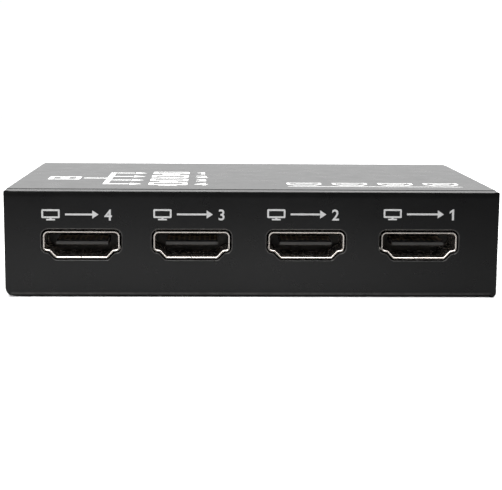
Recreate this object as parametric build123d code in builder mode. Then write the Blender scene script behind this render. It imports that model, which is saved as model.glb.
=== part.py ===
from build123d import *
import os

# One-input, four-output HDMI splitter in a folded sheet-steel case.
# Millimetres. Origin: centre of the base's underside, on the surface it rests on.
# +Z up, +X along the case, -Y out of the output side, +Y out of the input side.

# ---------------------------------------------------------------- dimensions
CASE_W, CASE_D, CASE_H = 95.2, 58.0, 20.75
SHEET = 1.0                 # case sheet
BEND_R = 1.3                # outside radius of the tray's two long bends
PANEL_H = CASE_H - 0.10     # end panels stop a little below the cover's top
PANEL_LOW_R = (1.9, 0.95)   # lower corners of both end panels, at -X and +X
PANEL_TOP_R = 0.3           # upper corners of both end panels
LIP = 2.5                   # depth of the end panels' lips, along their tops and sides
SEAM = 0.4                  # joint between the cover and the lips
COVER_BEND_R = 0.3          # outside radius of the cover's two bends
COVER_LIFT = 0.2            # cover side walls stop this far above the surface
TRAY_HALF = 46.45           # half width of the tray's floor, inside the cover

PORT_Z = 10.25              # middle of every HDMI socket
OUT_X = (32.2, 10.35, -11.75, -32.9)   # outputs 1, 2, 3, 4
IN_X = 4.0                  # input socket
PORT_PROUD = 0.2            # shells stand this far out of the panel
PORT_GAP = 0.38             # panel cut-out round a shell
RIM_R = 0.25                # painted edges of the panel's holes

HDMI_WALL = 0.3             # receptacle shell sheet
HDMI_LEN = 11.0             # receptacle shell length
# Middle line of the shell's wall at the mouth, from its middle: 14.0 x 4.55 inside.
MOUTH = [(-7.15, 2.425), (7.15, 2.425), (7.15, -0.97), (6.05, -1.14),
         (4.85, -2.425), (-4.85, -2.425), (-6.05, -1.14), (-7.15, -0.97)]
MOUTH_R = [0.85, 0.85, 0.55, 0.30, 0.40, 0.40, 0.30, 0.55]
TONGUE_W, TONGUE_LOW, TONGUE_TOP = 10.0, -0.31, 0.63
TONGUE_BACK = 1.5           # tongue's end face, behind the mouth
CONTACT_BACK = 2.8          # contacts' front ends, behind the mouth
BLOCK_FROM, BLOCK_TO = 8.3, 10.8
PITCH = 1.0                 # contacts in one row

PCB_TOP = 7.1
PCB_T = 1.6
PCB_X, PCB_Y = 89.0, 55.0
POST_XY = [(-41.3, -13.5), (41.3, -13.5), (-41.3, 8.0), (41.3, 8.0)]
TAB_Y = (-18.0, 18.0)       # cover screws along each side
TAB_Z = 11.5

JACK_X, JACK_Z = 33.0, 13.6         # 5.5 mm barrel jack
JACK_BORE, JACK_PIN, JACK_TAIL = 3.15, 1.05, 0.8    # radii
JACK_FLOOR = 10.4                   # bore's depth behind the jack's front
JACK_HOLE = 3.9                     # panel hole radius
SW_X, SW_Z = 20.0, 10.25            # slide switch, middle of its travel
SW_TRAVEL = 2.0
GUIDE_X = (-17.0, -21.5, -26.0, -30.5, -35.0)   # power light, then four outputs
GUIDE_R = 1.0

os.makedirs("parts", exist_ok=True)

PCB_LOW = PCB_TOP - PCB_T
PANEL_IN = CASE_D / 2 - SHEET       # inner face of both end panels
LIP_END = CASE_D / 2 - LIP          # where the lips end


def mouth_outline(grow):
    """The receptacle's outline, grown outwards from the wall's middle line."""
    with BuildSketch() as outline:
        with BuildLine():
            FilletPolyline(*MOUTH, radius=MOUTH_R, close=True)
        make_face()
        offset(amount=grow, kind=Kind.ARC)
    return outline.sketch


SHELL_OUT = mouth_outline(HDMI_WALL / 2)
SHELL_IN = mouth_outline(-HDMI_WALL / 2)
BLOCK_FIT = mouth_outline(-HDMI_WALL / 2 - 0.01)
CUT_OUT = mouth_outline(HDMI_WALL / 2 + PORT_GAP)


def mouth_plane(x, side):
    """Plane at a socket's mouth, facing out of the case. side -1 output, +1 input."""
    return Plane(origin=(x, side * (CASE_D / 2 + PORT_PROUD), PORT_Z),
                 x_dir=(-side, 0, 0), z_dir=(0, side, 0))


def depth_plane(x, side, across):
    """Plane whose x runs from the mouth into the case and whose y is up."""
    return Plane(origin=(x - side * across, side * (CASE_D / 2 + PORT_PROUD), PORT_Z),
                 x_dir=(0, -side, 0), z_dir=(-side, 0, 0))


PORTS = [("output_%d" % (i + 1), x, -1) for i, x in enumerate(OUT_X)]
PORTS.append(("input", IN_X, 1))

# ---------------------------------------------------------------- bottom tray
# Floor, output panel and input panel folded from one sheet. Lips behind the panels'
# top and side edges stiffen them, and the cover ends against the lips.
with BuildPart() as bottom_tray:
    with BuildSketch(Plane.YZ) as tray_profile:
        with BuildLine():
            FilletPolyline(
                (-CASE_D / 2, PANEL_H), (-CASE_D / 2, 0), (CASE_D / 2, 0), (CASE_D / 2, PANEL_H),
                (LIP_END, PANEL_H), (LIP_END, PANEL_H - SHEET), (PANEL_IN, PANEL_H - SHEET), (PANEL_IN, SHEET),
                (-PANEL_IN, SHEET), (-PANEL_IN, PANEL_H - SHEET), (-LIP_END, PANEL_H - SHEET), (-LIP_END, PANEL_H),
                radius=[0.15, BEND_R, BEND_R, 0.15, 0.1, 0.1, 0.3, 0.3, 0.3, 0.3, 0.1, 0.1], close=True)
        make_face()
    extrude(amount=CASE_W / 2, both=True)
    # The floor is narrower than the panels, so the cover's sides lie flush.
    with BuildSketch(Plane.XY) as side_room:
        with Locations((TRAY_HALF + 5, 0), (-TRAY_HALF - 5, 0)):
            Rectangle(10, 2 * LIP_END)
    extrude(amount=CASE_H + 1, mode=Mode.SUBTRACT)
    # Side lips, as deep as the top ones.
    with BuildSketch(Plane.XY) as side_lips:
        with Locations(*[(sx * (CASE_W - SHEET) / 2, sy * (CASE_D - LIP) / 2) for sx in (-1, 1) for sy in (-1, 1)]):
            Rectangle(SHEET, LIP)
    extrude(amount=PANEL_H)
    # Rounded corners of both end panels.
    with BuildSketch(Plane.XZ) as panel_outline:
        with BuildLine():
            FilletPolyline(
                (-CASE_W / 2, 0), (CASE_W / 2, 0), (CASE_W / 2, PANEL_H), (-CASE_W / 2, PANEL_H),
                radius=[*PANEL_LOW_R, PANEL_TOP_R, PANEL_TOP_R], close=True)
        make_face()
    extrude(amount=CASE_D, both=True, mode=Mode.INTERSECT)
    # Four tabs bent up from the floor take the cover's screws.
    for s in (-1, 1):
        for y in TAB_Y:
            with BuildSketch(Plane.XZ.offset(-y)):
                with BuildLine():
                    FilletPolyline(
                        (s * (TRAY_HALF - 4), 0), (s * TRAY_HALF, 0),
                        (s * TRAY_HALF, TAB_Z + 3.5), (s * (TRAY_HALF - SHEET), TAB_Z + 3.5),
                        (s * (TRAY_HALF - SHEET), SHEET), (s * (TRAY_HALF - 4), SHEET),
                        radius=[0, BEND_R, 0.3, 0.3, 0.3, 0], close=True)
                make_face()
            extrude(amount=5.0, both=True)
    # Tapped holes in the tabs, and holes for the standoffs' feet.
    with Locations(*[Location((s * TRAY_HALF, y, TAB_Z), (0, s * 90, 0)) for s in (-1, 1) for y in TAB_Y]):
        Hole(radius=1.25, depth=3)
    with BuildSketch(Plane.XY) as feet:
        with Locations(*POST_XY):
            Circle(2.0)
    extrude(amount=SHEET, mode=Mode.SUBTRACT)
    # Socket cut-outs.
    for _, x, side in PORTS:
        with BuildSketch(mouth_plane(x, side)):
            add(CUT_OUT)
        extrude(amount=-(PORT_PROUD + SHEET + 0.5), mode=Mode.SUBTRACT)
    # Input panel: power jack, switch slot, light guide.
    with BuildSketch(Plane.XZ.offset(-CASE_D / 2)) as input_holes:
        with Locations((JACK_X, JACK_Z)):
            Circle(JACK_HOLE)
        with Locations((SW_X, SW_Z)):
            SlotOverall(SW_TRAVEL + 2.8, 2.2)
        with Locations(*[(x, PORT_Z) for x in GUIDE_X]):
            Circle(GUIDE_R + 0.1)
    extrude(amount=SHEET + 0.5, mode=Mode.SUBTRACT)
    # Painted edges of the cut-outs are slightly round.
    rims = (bottom_tray.edges().filter_by_position(Axis.Y, -CASE_D / 2 - 0.01, -CASE_D / 2 + 0.01)
            + bottom_tray.edges().filter_by_position(Axis.Y, CASE_D / 2 - 0.01, CASE_D / 2 + 0.01))
    rims = rims.filter_by_position(Axis.Z, PORT_Z - 3.4, JACK_Z + JACK_HOLE + 0.2)
    rims = rims.filter_by_position(Axis.X, -CASE_W / 2 + 3, CASE_W / 2 - 3)
    fillet(rims, RIM_R)
bottom_tray.part.label = "bottom_tray"
export_step(bottom_tray.part, "parts/bottom_tray.step")

# ---------------------------------------------------------------- top cover
# Top and both side walls folded from one sheet, between the end panels' lips.
with BuildPart() as top_cover:
    with BuildSketch(Plane.XZ) as cover_profile:
        with BuildLine():
            FilletPolyline(
                (-CASE_W / 2, COVER_LIFT), (-CASE_W / 2, CASE_H), (CASE_W / 2, CASE_H),
                (CASE_W / 2, COVER_LIFT), (CASE_W / 2 - SHEET, COVER_LIFT),
                (CASE_W / 2 - SHEET, CASE_H - SHEET), (-CASE_W / 2 + SHEET, CASE_H - SHEET),
                (-CASE_W / 2 + SHEET, COVER_LIFT),
                radius=[0.2, COVER_BEND_R, COVER_BEND_R, 0.2, 0.2, 0.3, 0.3, 0.2], close=True)
        make_face()
    extrude(amount=LIP_END - SEAM, both=True)
    ends = (top_cover.faces().sort_by(Axis.Y)[0].outer_wire().edges()
            + top_cover.faces().sort_by(Axis.Y)[-1].outer_wire().edges())
    # Only the outside edges are eased.
    outside = ends.filter_by(lambda e: abs(e.center().X) > CASE_W / 2 - 0.45 or e.center().Z > CASE_H - 0.45)
    fillet(outside, 0.1)
    # Countersunk screw holes, two on each side.
    with Locations(*[Location((s * CASE_W / 2, y, TAB_Z), (0, s * 90, 0)) for s in (-1, 1) for y in TAB_Y]):
        CounterSinkHole(radius=1.35, counter_sink_radius=2.35, depth=2, counter_sink_angle=90)
    # Air slots in both sides, for the chip's heat.
    with BuildSketch(Plane.YZ) as slots:
        with Locations((0, TAB_Z - 1.0)):
            with GridLocations(3.2, 1, 7, 1):
                SlotOverall(8.0, 1.4, rotation=90)
    extrude(amount=CASE_W, both=True, mode=Mode.SUBTRACT)
top_cover.part.label = "top_cover"
export_step(top_cover.part, "parts/top_cover.step")

# Countersunk cross-head screws, M2.5 x 5.
with BuildPart() as cover_screws:
    for s in (-1, 1):
        for y in TAB_Y:
            head = Plane(origin=(s * (CASE_W / 2 - 0.02), y, TAB_Z), x_dir=(0, 1, 0), z_dir=(s, 0, 0))
            with BuildSketch(head):
                Circle(2.25)
            with BuildSketch(head.offset(-1.0)):
                Circle(1.25)
            loft()
            with BuildSketch(head.offset(-1.0)):
                Circle(1.2)
            extrude(amount=-3.6)
            with BuildSketch(head):
                Rectangle(2.6, 0.55)
                Rectangle(0.55, 2.6)
            extrude(amount=-0.75, taper=10, mode=Mode.SUBTRACT)
cover_screws.part.label = "cover_screws"
export_step(cover_screws.part, "parts/cover_screws.step")

# ---------------------------------------------------------------- circuit board
with BuildPart() as pcb_standoffs:
    # Spigot swaged into the floor, post, clear thread.
    with BuildSketch(Plane.XY):
        with Locations(*POST_XY):
            Circle(2.0)
            Circle(1.55, mode=Mode.SUBTRACT)
    extrude(amount=SHEET)
    with BuildSketch(Plane.XY.offset(SHEET)):
        with Locations(*POST_XY):
            Circle(2.75)
            Circle(1.55, mode=Mode.SUBTRACT)
    extrude(amount=PCB_LOW - SHEET)
pcb_standoffs.part.label = "pcb_standoffs"
export_step(pcb_standoffs.part, "parts/pcb_standoffs.step")

with BuildPart() as pcb_screws:
    # M3 x 5 pan head.
    with BuildSketch(Plane.XY.offset(PCB_TOP)):
        with Locations(*POST_XY):
            Circle(2.75)
    extrude(amount=2.0)
    fillet(pcb_screws.edges().group_by(Axis.Z)[-1], 0.7)
    with BuildSketch(Plane.XY.offset(PCB_TOP)):
        with Locations(*POST_XY):
            Circle(1.5)
    extrude(amount=-5.0)
    with BuildSketch(Plane.XY.offset(PCB_TOP + 2.0)):
        with Locations(*POST_XY):
            Rectangle(2.8, 0.6)
            Rectangle(0.6, 2.8)
    extrude(amount=-1.1, mode=Mode.SUBTRACT)
pcb_screws.part.label = "pcb_screws"
export_step(pcb_screws.part, "parts/pcb_screws.step")

LEG_DEPTHS = (3.6, 8.8)
with BuildPart() as main_pcb:
    with BuildSketch(Plane.XY.offset(PCB_LOW)):
        RectangleRounded(PCB_X, PCB_Y, 1.5)
        with Locations(*POST_XY):
            Circle(1.6, mode=Mode.SUBTRACT)
        # Slots for the receptacles' legs.
        for _, x, side in PORTS:
            with Locations(*[(x + sx * 7.15, side * (CASE_D / 2 + PORT_PROUD - d)) for sx in (-1, 1) for d in LEG_DEPTHS]):
                Rectangle(0.7, 1.7, mode=Mode.SUBTRACT)
        # Plated holes: power jack, switch, light guide pegs.
        with Locations((JACK_X, 13.7), (JACK_X, 19.6)):
            Rectangle(2.6, 0.9, mode=Mode.SUBTRACT)
        with Locations((SW_X - 2.5, 24.2), (SW_X, 24.2), (SW_X + 2.5, 24.2)):
            Circle(0.5, mode=Mode.SUBTRACT)
        with Locations((SW_X - 4.45, 24.2), (SW_X + 4.45, 24.2)):
            Rectangle(0.7, 1.5, mode=Mode.SUBTRACT)
        with Locations((GUIDE_X[0] + 2.6, 22.4), (GUIDE_X[-1] - 2.6, 22.4)):
            Circle(0.8, mode=Mode.SUBTRACT)
    extrude(amount=PCB_T)
main_pcb.part.label = "main_pcb"
export_step(main_pcb.part, "parts/main_pcb.step")

# ---------------------------------------------------------------- receptacles
def contact_line(low):
    """Side view of one contact: along the tongue, through the block, down to a foot."""
    foot = PCB_TOP - PORT_Z
    return [(CONTACT_BACK, low), (CONTACT_BACK, low + 0.12), (11.42, low + 0.12), (11.42, foot + 0.12),
            (12.3, foot + 0.12), (12.3, foot), (11.3, foot), (11.3, low)]


TOP_ROW = contact_line(TONGUE_TOP - 0.05)
LOW_ROW = contact_line(TONGUE_LOW - 0.07)
ROWS = ([(TOP_ROW, (i - 4.5) * PITCH) for i in range(10)]
        + [(LOW_ROW, (i - 4) * PITCH) for i in range(9)])

for port, x, side in PORTS:
    mouth = mouth_plane(x, side)

    # Outer sheet: 0.3 mm, nickel plated, wrapped round, with spring fingers and legs.
    with BuildPart() as hdmi_shell:
        with BuildSketch(mouth):
            add(SHELL_OUT)
            add(SHELL_IN, mode=Mode.SUBTRACT)
        extrude(amount=-HDMI_LEN)
        # Mouth's edge, rolled in on the inside as a lead-in for the plug.
        lip = hdmi_shell.faces().sort_by(Axis.Y)[-1 if side > 0 else 0]
        fillet(lip.inner_wires()[0].edges(), 0.26)
        # Windows round the two fingers above.
        for up, across in ((1, 3.0), (1, -3.0)):
            with BuildSketch(depth_plane(x, side, across)):
                with Locations((5.3, up * 2.425)):
                    Rectangle(5.8, 0.7)
            extrude(amount=1.1, both=True, mode=Mode.SUBTRACT)
            with BuildSketch(depth_plane(x, side, across)):
                with BuildLine():
                    Polyline((8.4, up * 2.575), (8.4, up * 2.275), (8.0, up * 2.275), (4.1, up * 1.84),
                             (3.1, up * 2.05), (3.1, up * 2.35), (4.1, up * 2.14), (7.9, up * 2.575), close=True)
                make_face()
            extrude(amount=0.75, both=True)
        # Joint where the sheet's two ends meet underneath.
        with BuildSketch(depth_plane(x, side, 0)):
            with Locations((HDMI_LEN / 2, -2.425)):
                Rectangle(HDMI_LEN + 1, 0.8)
        extrude(amount=0.05, both=True, mode=Mode.SUBTRACT)
        # Four legs through the board.
        for across in (-7.15, 7.15):
            with BuildSketch(depth_plane(x, side, across)):
                for d in LEG_DEPTHS:
                    with BuildLine():
                        FilletPolyline((d - 0.75, 0.2), (d + 0.75, 0.2), (d + 0.75, -4.4),
                                       (d + 0.3, -5.5), (d - 0.3, -5.5), (d - 0.75, -4.4),
                                       radius=[0, 0, 0.2, 0.15, 0.15, 0.2], close=True)
                    make_face()
            extrude(amount=0.15, both=True)
    label = "hdmi_%s_shell" % port
    hdmi_shell.part.label = label
    export_step(hdmi_shell.part, "parts/%s.step" % label)

    # Contacts, ten above the tongue and nine below it, half a pitch apart.
    with BuildPart() as hdmi_contacts:
        for line, across in ROWS:
            with BuildSketch(depth_plane(x, side, across)):
                with BuildLine():
                    Polyline(*line, close=True)
                make_face()
            extrude(amount=0.15, both=True)
    label = "hdmi_%s_contacts" % port
    hdmi_contacts.part.label = label
    export_step(hdmi_contacts.part, "parts/%s.step" % label)

    # Insulator: block in the back of the shell with the tongue standing forward.
    with BuildPart() as hdmi_insulator:
        with BuildSketch(mouth.offset(-BLOCK_FROM)):
            add(BLOCK_FIT)
        extrude(amount=-(BLOCK_TO - BLOCK_FROM))
        with BuildSketch(depth_plane(x, side, 0)):
            with BuildLine():
                Polyline((TONGUE_BACK, TONGUE_LOW + 0.2), (TONGUE_BACK, TONGUE_TOP - 0.2),
                         (TONGUE_BACK + 1.0, TONGUE_TOP), (BLOCK_FROM + 0.5, TONGUE_TOP),
                         (BLOCK_FROM + 0.5, TONGUE_LOW), (TONGUE_BACK + 1.0, TONGUE_LOW), close=True)
            make_face()
        extrude(amount=TONGUE_W / 2, both=True)
        add(hdmi_contacts.part, mode=Mode.SUBTRACT)
    label = "hdmi_%s_insulator" % port
    hdmi_insulator.part.label = label
    export_step(hdmi_insulator.part, "parts/%s.step" % label)

# ---------------------------------------------------------------- power jack
JACK_FRONT = PANEL_IN - 0.2
jack_face = Plane(origin=(JACK_X, JACK_FRONT, JACK_Z), x_dir=(-1, 0, 0), z_dir=(0, 1, 0))
JACK_LOW = PCB_TOP - JACK_Z


def jack_side(across):
    """x from the jack's front into the case, y up."""
    return Plane(origin=(JACK_X - across, JACK_FRONT, JACK_Z), x_dir=(0, -1, 0), z_dir=(-1, 0, 0))


with BuildPart() as dc_jack_pin:
    # Pin in the barrel, and its thinner tail riveted through the back wall.
    with BuildSketch(jack_face.offset(-JACK_FLOOR)):
        Circle(JACK_PIN)
    extrude(amount=JACK_FLOOR - 1.0)
    fillet(dc_jack_pin.edges().sort_by(Axis.Y)[-1], 0.45)
    with BuildSketch(jack_face.offset(-13.0)):
        Circle(JACK_TAIL)
    extrude(amount=13.0 - JACK_FLOOR)
    with BuildSketch(jack_side(0)):
        with BuildLine():
            Polyline((13.0, 1.2), (14.3, 1.2), (14.3, JACK_LOW - 3.0), (13.9, JACK_LOW - 3.0),
                     (13.9, -1.2), (13.0, -1.2), close=True)
        make_face()
    extrude(amount=1.0, both=True)
dc_jack_pin.part.label = "dc_jack_pin"
export_step(dc_jack_pin.part, "parts/dc_jack_pin.step")

with BuildPart() as dc_jack_leaf_contact:
    # Leaf that presses on the plug's sleeve from below, and its tail.
    with BuildSketch(jack_side(0)):
        with BuildLine():
            Polyline((2.6, -3.95), (3.1, -3.95), (5.6, -3.05), (7.2, -3.05), (8.05, -3.6), (8.05, JACK_LOW - 3.0),
                     (8.35, JACK_LOW - 3.0), (8.35, -3.45), (7.3, -2.75), (5.5, -2.75), (3.0, -3.65), (2.6, -3.65),
                     close=True)
        make_face()
    extrude(amount=1.1, both=True)
dc_jack_leaf_contact.part.label = "dc_jack_leaf_contact"
export_step(dc_jack_leaf_contact.part, "parts/dc_jack_leaf_contact.step")

with BuildPart() as dc_jack_body:
    # Square front, round barrel behind it, and the block that stands on the board.
    with BuildSketch(jack_face):
        with Locations((0, (JACK_LOW + 4.5) / 2)):
            Rectangle(9.0, 4.5 - JACK_LOW)
    extrude(amount=-3.4)
    with BuildSketch(jack_face.offset(-3.4)):
        Circle(4.1)
        with Locations((0, JACK_LOW / 2)):
            Rectangle(9.0, -JACK_LOW)
    extrude(amount=-9.6)
    with BuildSketch(jack_face):
        Circle(JACK_BORE)
    extrude(amount=-JACK_FLOOR, mode=Mode.SUBTRACT)
    chamfer(dc_jack_body.edges().filter_by(GeomType.CIRCLE).filter_by_position(
        Axis.Y, JACK_FRONT - 0.01, JACK_FRONT + 0.01), 0.3)
    # Pin hole in the back wall, and the channel that the leaf lies in.
    with BuildSketch(jack_face):
        Circle(JACK_TAIL)
    extrude(amount=-13.0, mode=Mode.SUBTRACT)
    with BuildSketch(jack_side(0)):
        with BuildLine():
            Polyline((2.2, -2.0), (8.6, -2.0), (8.6, JACK_LOW), (7.8, JACK_LOW), (7.8, -4.3), (2.2, -4.3), close=True)
        make_face()
    extrude(amount=1.25, both=True, mode=Mode.SUBTRACT)
dc_jack_body.part.label = "dc_jack_body"
export_step(dc_jack_body.part, "parts/dc_jack_body.step")

# ---------------------------------------------------------------- slide switch
# The lever rests at its -X stop (off) and slides SW_TRAVEL towards +X.
REST_X = SW_X - SW_TRAVEL / 2
with BuildPart() as switch_base:
    with BuildSketch(Plane.XY.offset(PCB_TOP)):
        with Locations((SW_X, 24.6)):
            Rectangle(8.4, 4.6)
    extrude(amount=5.4)
    # Cavity for the slider, open towards the panel.
    with BuildSketch(Plane.XZ.offset(-26.9)):
        with Locations((SW_X, SW_Z)):
            Rectangle(4.0 + SW_TRAVEL + 0.3, 3.3)
    extrude(amount=1.7, mode=Mode.SUBTRACT)
    # Narrower channel behind it for the contact clip.
    with BuildSketch(Plane.XZ.offset(-25.2)):
        with Locations((SW_X, SW_Z)):
            Rectangle(3.6 + SW_TRAVEL + 0.4, 1.8)
    extrude(amount=1.2, mode=Mode.SUBTRACT)
    # Holes for the three terminals.
    with BuildSketch(Plane.XY.offset(PCB_TOP)):
        with Locations((SW_X - 2.5, 24.2), (SW_X, 24.2), (SW_X + 2.5, 24.2)):
            Rectangle(0.6, 0.4)
    extrude(amount=2.6, mode=Mode.SUBTRACT)
switch_base.part.label = "switch_base"
export_step(switch_base.part, "parts/switch_base.step")

with BuildPart() as switch_terminals:
    with BuildSketch(Plane.XY.offset(PCB_LOW - 1.4)):
        with Locations((SW_X - 2.5, 24.2), (SW_X, 24.2), (SW_X + 2.5, 24.2)):
            Rectangle(0.6, 0.4)
    extrude(amount=PCB_TOP + 2.6 - PCB_LOW + 1.4)
switch_terminals.part.label = "switch_terminals"
export_step(switch_terminals.part, "parts/switch_terminals.step")

with BuildPart() as switch_frame:
    # Folded steel cap over the base: face with a slot, top, and two legs.
    with BuildSketch(Plane.XY.offset(PCB_TOP + 0.1)):
        with Locations((SW_X, 24.76)):
            Rectangle(9.2, 5.52)
    extrude(amount=5.7)
    with BuildSketch(Plane.XY.offset(PCB_TOP)):
        with Locations((SW_X, 24.12)):
            Rectangle(8.6, 6.0)
    extrude(amount=5.5, mode=Mode.SUBTRACT)
    with BuildSketch(Plane.XZ.offset(-28.0)):
        with Locations((SW_X, SW_Z)):
            Rectangle(SW_TRAVEL + 2.1, 1.9)
    extrude(amount=1.5, mode=Mode.SUBTRACT)
    for s in (-1, 1):
        with BuildSketch(Plane.XY.offset(PCB_TOP + 0.1)):
            with Locations((SW_X + s * 4.45, 24.2)):
                Rectangle(0.3, 1.1)
        extrude(amount=-(PCB_T + 1.2))
switch_frame.part.label = "switch_frame"
export_step(switch_frame.part, "parts/switch_frame.step")

with BuildPart() as switch_lever:
    # Slider shoe inside the base, and the stem that comes out through the panel.
    with BuildSketch(Plane.XZ.offset(-25.35)):
        with Locations((REST_X, SW_Z)):
            Rectangle(4.0, 3.0)
    extrude(amount=-1.4)
    with BuildSketch(Plane.XZ.offset(-26.5)):
        with Locations((REST_X, SW_Z)):
            RectangleRounded(1.7, 1.5, 0.2)
    extrude(amount=-4.5)
    fillet(switch_lever.edges().filter_by_position(Axis.Y, 30.9, 31.1), 0.18)
    # Grip notches on the stem's end.
    with BuildSketch(Plane.XZ.offset(-31.0)):
        with Locations((REST_X - 0.42, SW_Z), (REST_X, SW_Z), (REST_X + 0.42, SW_Z)):
            Rectangle(0.16, 2.0)
    extrude(amount=0.15, mode=Mode.SUBTRACT)
switch_lever.part.label = "switch_lever"
export_step(switch_lever.part, "parts/switch_lever.step")

with BuildPart() as switch_contact_clip:
    # Copper clip carried behind the shoe; it wipes over the terminals' ends.
    with BuildSketch(Plane.XZ.offset(-25.35)):
        with Locations((REST_X, SW_Z + 0.35)):
            Rectangle(3.4, 0.5)
    extrude(amount=0.95)
switch_contact_clip.part.label = "switch_contact_clip"
export_step(switch_contact_clip.part, "parts/switch_contact_clip.step")

# ---------------------------------------------------------------- status lights
with BuildPart() as light_guide:
    # Clear bar with five round ends in the panel and two pegs in the board.
    bar_x = (GUIDE_X[0] + GUIDE_X[-1]) / 2
    with BuildSketch(Plane.XY.offset(8.9)):
        with Locations((bar_x, 22.4)):
            Rectangle(GUIDE_X[0] - GUIDE_X[-1] + 6.6, 2.4)
    extrude(amount=2.7)
    chamfer(light_guide.edges().filter_by(Axis.X).sort_by(Axis.Z)[-2:].sort_by(Axis.Y)[0], 1.4)
    with BuildSketch(Plane.XZ.offset(-23.6)):
        with Locations(*[(x, PORT_Z) for x in GUIDE_X]):
            Circle(GUIDE_R)
    extrude(amount=-(CASE_D / 2 + 0.1 - 23.6))
    fillet(light_guide.edges().filter_by_position(Axis.Y, CASE_D / 2 + 0.09, CASE_D / 2 + 0.11), 0.3)
    with BuildSketch(Plane.XY.offset(PCB_TOP)):
        with Locations((GUIDE_X[0] + 2.6, 22.4), (GUIDE_X[-1] - 2.6, 22.4)):
            Rectangle(1.4, 2.4)
    extrude(amount=1.8)
    with BuildSketch(Plane.XY.offset(PCB_LOW + 0.2)):
        with Locations((GUIDE_X[0] + 2.6, 22.4), (GUIDE_X[-1] - 2.6, 22.4)):
            Circle(0.65)
    extrude(amount=PCB_T - 0.2)
light_guide.part.label = "light_guide"
export_step(light_guide.part, "parts/light_guide.step")

with BuildPart() as status_leds:
    with BuildSketch(Plane.XY.offset(PCB_TOP)):
        with Locations(*[(x, 22.4) for x in GUIDE_X]):
            Rectangle(2.0, 1.25)
    extrude(amount=0.5)
    with BuildSketch(Plane.XY.offset(PCB_TOP + 0.5)):
        with Locations(*[(x, 22.4) for x in GUIDE_X]):
            Rectangle(1.2, 1.1)
    extrude(amount=0.6, taper=8)
status_leds.part.label = "status_leds"
export_step(status_leds.part, "parts/status_leds.step")

# ---------------------------------------------------------------- splitter chip
CHIP_X, CHIP_Y, CHIP = 0.0, -2.5, 14.0
with BuildPart() as splitter_chip:
    with BuildSketch(Plane.XY.offset(PCB_TOP + 0.15)):
        with Locations((CHIP_X, CHIP_Y)):
            Rectangle(CHIP, CHIP)
    extrude(amount=1.4)
    chamfer(splitter_chip.edges().filter_by(Axis.Z), 0.4)
splitter_chip.part.label = "splitter_chip"
export_step(splitter_chip.part, "parts/splitter_chip.step")

with BuildPart() as splitter_chip_leads:
    for turn in range(4):
        lead = Plane(origin=(CHIP_X, CHIP_Y, PCB_TOP), x_dir=((1, 0, 0), (0, 1, 0), (-1, 0, 0), (0, -1, 0))[turn],
                     z_dir=((0, -1, 0), (1, 0, 0), (0, 1, 0), (-1, 0, 0))[turn])
        with BuildSketch(lead):
            with BuildLine():
                Polyline((CHIP / 2, 0.8), (CHIP / 2 + 0.5, 0.8), (CHIP / 2 + 0.7, 0.15), (CHIP / 2 + 1.2, 0.15),
                         (CHIP / 2 + 1.2, 0), (CHIP / 2 + 0.58, 0), (CHIP / 2 + 0.38, 0.65), (CHIP / 2, 0.65), close=True)
            make_face()
        one = extrude(amount=0.17, both=True, mode=Mode.PRIVATE)
        step = lead.z_dir
        for i in range(16):
            add(one.moved(Location(step * ((i - 7.5) * 0.8))))
splitter_chip_leads.part.label = "splitter_chip_leads"
export_step(splitter_chip_leads.part, "parts/splitter_chip_leads.step")

CHIP_TOP = PCB_TOP + 1.55
with BuildPart() as thermal_pad:
    with BuildSketch(Plane.XY.offset(CHIP_TOP)):
        with Locations((CHIP_X, CHIP_Y)):
            Rectangle(13.0, 13.0)
    extrude(amount=0.5)
thermal_pad.part.label = "thermal_pad"
export_step(thermal_pad.part, "parts/thermal_pad.step")

with BuildPart() as heatsink:
    with BuildSketch(Plane.XY.offset(CHIP_TOP + 0.5)):
        with Locations((CHIP_X, CHIP_Y)):
            Rectangle(14.0, 14.0)
    extrude(amount=1.6)
    with BuildSketch(Plane.XY.offset(CHIP_TOP + 2.1)):
        with Locations((CHIP_X, CHIP_Y)):
            with GridLocations(2.2, 1, 7, 1):
                Rectangle(0.8, 14.0)
    extrude(amount=4.4)
heatsink.part.label = "heatsink"
export_step(heatsink.part, "parts/heatsink.step")


# ---------------------------------------------------------------- small chips
def gull_wings(x, y, half, count, pitch, high):
    """Lead outlines on both long sides of a small chip, as (plane, points)."""
    found = []
    for s in (-1, 1):
        for i in range(count):
            found.append((Plane(origin=(x + (i - (count - 1) / 2) * pitch, y, PCB_TOP),
                                x_dir=(0, s, 0), z_dir=(s, 0, 0)),
                          [(half, high), (half + 0.4, high), (half + 0.6, 0.15), (half + 1.0, 0.15), (half + 1.0, 0),
                           (half + 0.48, 0), (half + 0.28, high - 0.15), (half, high - 0.15)]))
    return found


with BuildPart() as control_microcontroller:
    # Twenty-lead package.
    with BuildSketch(Plane.XY.offset(PCB_TOP + 0.1)):
        with Locations((-27.0, -4.0)):
            Rectangle(12.8, 7.5)
    extrude(amount=2.3)
    for lead, line in gull_wings(-27.0, -4.0, 3.75, 10, 1.27, 1.2):
        with BuildSketch(lead):
            with BuildLine():
                Polyline(*line, close=True)
            make_face()
        extrude(amount=0.2, both=True)
control_microcontroller.part.label = "control_microcontroller"
export_step(control_microcontroller.part, "parts/control_microcontroller.step")

with BuildPart() as display_data_memory:
    # Two eight-lead packages.
    for cx, cy in ((-19.0, 8.5), (-29.5, 8.5)):
        with BuildSketch(Plane.XY.offset(PCB_TOP + 0.1)):
            with Locations((cx, cy)):
                Rectangle(4.9, 3.9)
        extrude(amount=1.45)
        for lead, line in gull_wings(cx, cy, 1.95, 4, 1.27, 0.8):
            with BuildSketch(lead):
                with BuildLine():
                    Polyline(*line, close=True)
                make_face()
            extrude(amount=0.2, both=True)
display_data_memory.part.label = "display_data_memory"
export_step(display_data_memory.part, "parts/display_data_memory.step")

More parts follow.
